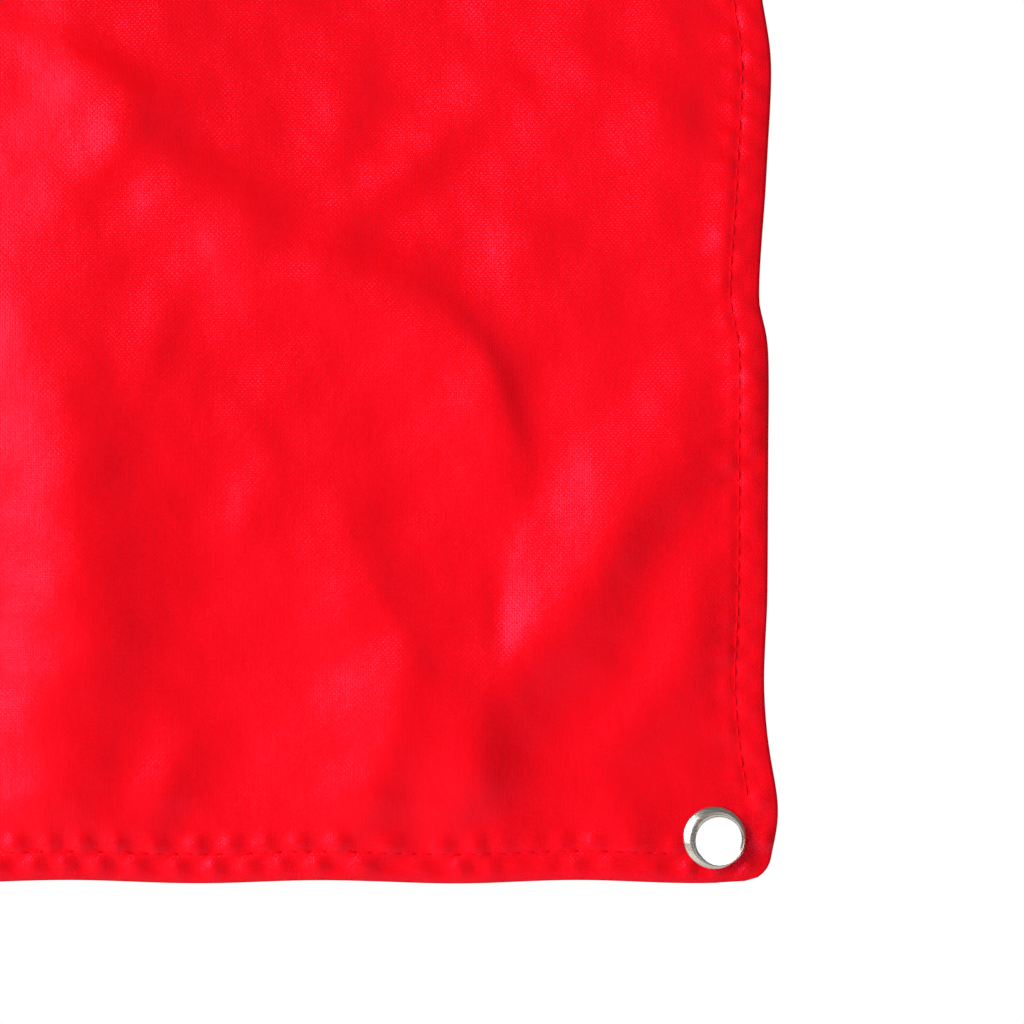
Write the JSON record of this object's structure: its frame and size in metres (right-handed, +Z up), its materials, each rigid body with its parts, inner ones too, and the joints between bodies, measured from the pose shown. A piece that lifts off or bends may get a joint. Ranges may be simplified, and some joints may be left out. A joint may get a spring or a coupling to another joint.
{
  "type": "portable windsock with telescopic pole",
  "caption": "Red fabric windsock on a ball-bearing swivel head, carried by a two-stage telescopic pole that stands on a folding cross base.",
  "frame": {"origin": "on the floor under the pole's axis, at the middle of the cross base", "axes": "+Z up along the pole, +X the way the sock streams at rest, +Y to its left"},
  "size_m": [1.329, 0.72, 1.7262],
  "materials": {
    "black_powder_coat": "satin powder coat, fine orange peel",
    "rubber": "matt moulded rubber",
    "zinc_steel": "bright zinc plate",
    "black_plastic": "fine-textured moulded nylon",
    "anodised_aluminium": "satin clear anodise",
    "bearing_steel": "ground and polished",
    "nickel_brass": "polished nickel plate",
    "red_nylon": "plain-weave nylon with a soft satin sheen",
    "red_webbing": "ribbed polyester webbing",
    "white_cord": "braided polyester cord"
  },
  "bodies": {
    "base": {"lower_cross_bar": "black_powder_coat", "lower_bar_foot_rear": "rubber", "lower_bar_foot_front": "rubber", "hub_pad": "rubber", "pivot_washer": "black_plastic", "pivot_bolt": "zinc_steel", "pole_socket": "black_powder_coat"},
    "folding_bar": {"folding_cross_bar": "black_powder_coat", "folding_bar_foot_right": "rubber", "folding_bar_foot_left": "rubber"},
    "thumb_screw": {"socket_thumb_screw": "black_plastic"},
    "pole_lower": {"lower_tube": "anodised_aluminium", "lower_tube_plug": "black_plastic", "pole_clamp": "black_plastic", "clamp_bolt": "zinc_steel", "clamp_nut": "zinc_steel", "lever_pin": "zinc_steel"},
    "lever": {"clamp_lever": "black_plastic"},
    "pole_upper": {"upper_tube": "anodised_aluminium", "slide_bush": "black_plastic", "bearing_housing": "anodised_aluminium", "lower_bearing_outer_race": "bearing_steel", "upper_bearing_outer_race": "bearing_steel", "housing_circlip": "bearing_steel"},
    "head": {"swivel_shaft": "zinc_steel", "shaft_nut": "zinc_steel", "lower_bearing_inner_race": "bearing_steel", "upper_bearing_inner_race": "bearing_steel", "bearing_spacer": "anodised_aluminium", "rain_cap": "black_plastic", "shaft_end_cap": "black_plastic", "front_hoop": "zinc_steel", "rear_hoop": "zinc_steel", "basket_stay_1": "zinc_steel", "basket_stay_2": "zinc_steel", "basket_stay_3": "zinc_steel", "basket_stay_4": "zinc_steel", "lower_hoop_clamp": "anodised_aluminium", "upper_hoop_clamp": "anodised_aluminium", "lower_clamp_screw": "zinc_steel", "upper_clamp_screw": "zinc_steel", "right_sock_panel": "red_nylon", "left_sock_panel": "red_nylon", "mouth_band": "red_webbing", "mouth_eyelet_1": "nickel_brass", "mouth_eyelet_2": "nickel_brass", "mouth_eyelet_3": "nickel_brass", "mouth_eyelet_4": "nickel_brass", "mouth_eyelet_5": "nickel_brass", "mouth_eyelet_6": "nickel_brass", "mouth_eyelet_7": "nickel_brass", "mouth_eyelet_8": "nickel_brass", "lower_tail_eyelet": "nickel_brass", "upper_tail_eyelet": "nickel_brass", "lacing_cord": "white_cord"},
    "ball_cages": {"lower_bearing_balls": "bearing_steel", "upper_bearing_balls": "bearing_steel"}
  },
  "joints": [
    {"name": "base_fold", "type": "hinge", "parent": "base", "child": "folding_bar", "pos_m": [0, 0, 0.0256], "axis": [0, 0, 1], "range_deg": [0, 80]},
    {"name": "thumb_screw_turn", "type": "hinge", "parent": "base", "child": "thumb_screw", "pos_m": [-0.0269, 0, 0.1189], "axis": [-1, 0, 0], "range_deg": [0, 540]},
    {"name": "pole_lift", "type": "slide", "parent": "base", "child": "pole_lower", "axis": [0, 0, 1], "range_m": [0, 0.12]},
    {"name": "clamp_lever_swing", "type": "hinge", "parent": "pole_lower", "child": "lever", "pos_m": [0.027, -0.0143, 0.7596], "axis": [0, 0, 1], "range_deg": [0, 110]},
    {"name": "pole_extend", "type": "slide", "parent": "pole_lower", "child": "pole_upper", "axis": [0, 0, 1], "range_m": [-0.55, 0]},
    {"name": "swivel", "type": "hinge", "parent": "pole_upper", "child": "head", "pos_m": [0, 0, 1.3935], "axis": [0, 0, 1], "continuous": true},
    {"name": "ball_cage_roll", "type": "hinge", "parent": "pole_upper", "child": "ball_cages", "pos_m": [0, 0, 1.3935], "axis": [0, 0, 1], "continuous": true}
  ],
  "couplings": [
    {"joint": "ball_cage_roll", "follows": "swivel", "ratio": 0.3944}
  ]
}
